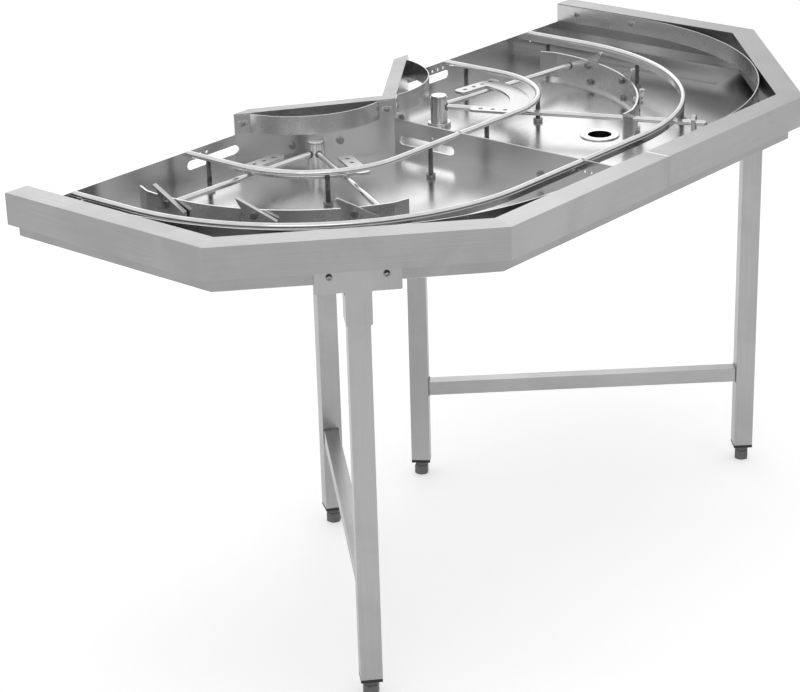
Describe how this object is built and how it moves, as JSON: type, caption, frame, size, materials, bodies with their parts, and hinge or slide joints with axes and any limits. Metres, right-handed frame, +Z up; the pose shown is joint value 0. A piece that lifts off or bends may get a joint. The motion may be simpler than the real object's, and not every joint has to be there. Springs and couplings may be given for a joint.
{
  "type": "curved dish rack conveyor",
  "caption": "Half-circle rack conveyor curve: chamfered stainless basins with curved slide rails, swinging pawl carriages, raised rim and square tube legs.",
  "frame": {"origin": "on the floor under the middle of the plan", "axes": "+X along the open back wall, +Y towards the back wall, +Z up"},
  "size_m": [1.7, 0.84, 0.9],
  "materials": {
    "stainless_sheet": "brushed stainless sheet",
    "polished_steel": "polished stainless bar",
    "fasteners": "plain stainless fasteners",
    "black_plastic": "matte black",
    "grey_plastic": "matte grey"
  },
  "bodies": {
    "frame": {"left_basin": "stainless_sheet", "left_rim": "stainless_sheet", "left_outer_guide": "stainless_sheet", "left_rack_guard": "stainless_sheet", "left_guide_screws": "fasteners", "left_outer_rail": "polished_steel", "left_inner_rail": "polished_steel", "left_rail_posts": "fasteners", "left_rail_post_nuts": "fasteners", "left_pivot_post": "polished_steel", "left_inner_leg": "stainless_sheet", "left_outer_leg": "stainless_sheet", "left_crossbar": "stainless_sheet", "left_leg_brackets": "stainless_sheet", "left_bracket_bolts": "fasteners", "left_foot_inserts": "black_plastic", "right_basin": "stainless_sheet", "right_rim": "stainless_sheet", "right_outer_guide": "stainless_sheet", "right_rack_guard": "stainless_sheet", "right_guide_screws": "fasteners", "right_outer_rail": "polished_steel", "right_inner_rail": "polished_steel", "right_rail_posts": "fasteners", "right_rail_post_nuts": "fasteners", "right_pivot_post": "polished_steel", "right_inner_leg": "stainless_sheet", "right_outer_leg": "stainless_sheet", "right_crossbar": "stainless_sheet", "right_leg_brackets": "stainless_sheet", "right_bracket_bolts": "fasteners", "right_foot_inserts": "black_plastic", "partition_bolts": "fasteners", "drain_flange": "polished_steel", "drain_nut": "fasteners"},
    "left_carriage": {"left_carriage_hub": "polished_steel", "left_carriage_arms": "polished_steel", "left_link_plate": "stainless_sheet", "left_pawl_carrier": "stainless_sheet", "left_pawl_bolts": "fasteners", "left_pawl_nuts": "fasteners"},
    "left_pawl_1": {"left_pawl_1": "stainless_sheet"},
    "left_pawl_2": {"left_pawl_2": "stainless_sheet"},
    "left_pawl_3": {"left_pawl_3": "stainless_sheet"},
    "left_inner_foot": {"left_inner_foot": "grey_plastic"},
    "left_outer_foot": {"left_outer_foot": "grey_plastic"},
    "right_carriage": {"right_carriage_hub": "polished_steel", "right_carriage_arms": "polished_steel", "right_link_plate": "stainless_sheet", "right_pawl_carrier": "stainless_sheet", "right_pawl_bolts": "fasteners", "right_pawl_nuts": "fasteners", "right_striker": "stainless_sheet"},
    "right_pawl_1": {"right_pawl_1": "stainless_sheet"},
    "right_pawl_2": {"right_pawl_2": "stainless_sheet"},
    "right_pawl_3": {"right_pawl_3": "stainless_sheet"},
    "right_inner_foot": {"right_inner_foot": "grey_plastic"},
    "right_outer_foot": {"right_outer_foot": "grey_plastic"}
  },
  "joints": [
    {"name": "left_carriage_swing", "type": "hinge", "parent": "frame", "child": "left_carriage", "pos_m": [-0.19, 0.274, 0.825], "axis": [0, 0, 1], "range_deg": [-5, 42]},
    {"name": "right_carriage_swing", "type": "hinge", "parent": "frame", "child": "right_carriage", "pos_m": [0.19, 0.274, 0.825], "axis": [0, 0, -1], "range_deg": [-12, 35]},
    {"name": "left_pawl_1_fold", "type": "hinge", "parent": "left_carriage", "child": "left_pawl_1", "pos_m": [-0.60256, 0.2632, 0.841], "axis": [-0.9997, -0.0262, 0], "range_deg": [0, 32]},
    {"name": "left_pawl_2_fold", "type": "hinge", "parent": "left_carriage", "child": "left_pawl_2", "pos_m": [-0.55934, 0.08985, 0.841], "axis": [-0.8949, -0.4462, 0], "range_deg": [0, 32]},
    {"name": "left_pawl_3_fold", "type": "hinge", "parent": "left_carriage", "child": "left_pawl_3", "pos_m": [-0.44691, -0.04898, 0.841], "axis": [-0.6225, -0.7826, 0], "range_deg": [0, 32]},
    {"name": "right_pawl_1_fold", "type": "hinge", "parent": "right_carriage", "child": "right_pawl_1", "pos_m": [0.5913, 0.17766, 0.841], "axis": [0.9724, -0.2334, 0], "range_deg": [0, 32]},
    {"name": "right_pawl_2_fold", "type": "hinge", "parent": "right_carriage", "child": "right_pawl_2", "pos_m": [0.53414, 0.04622, 0.841], "axis": [0.8339, -0.5519, 0], "range_deg": [0, 32]},
    {"name": "right_pawl_3_fold", "type": "hinge", "parent": "right_carriage", "child": "right_pawl_3", "pos_m": [0.42966, -0.06198, 0.841], "axis": [0.5807, -0.8141, 0], "range_deg": [0, 32]},
    {"name": "left_inner_foot_height", "type": "slide", "parent": "frame", "child": "left_inner_foot", "axis": [0, 0, 1], "range_m": [-0.018, 0.0015]},
    {"name": "left_outer_foot_height", "type": "slide", "parent": "frame", "child": "left_outer_foot", "axis": [0, 0, 1], "range_m": [-0.018, 0.0015]},
    {"name": "right_inner_foot_height", "type": "slide", "parent": "frame", "child": "right_inner_foot", "axis": [0, 0, 1], "range_m": [-0.018, 0.0015]},
    {"name": "right_outer_foot_height", "type": "slide", "parent": "frame", "child": "right_outer_foot", "axis": [0, 0, 1], "range_m": [-0.018, 0.0015]}
  ]
}
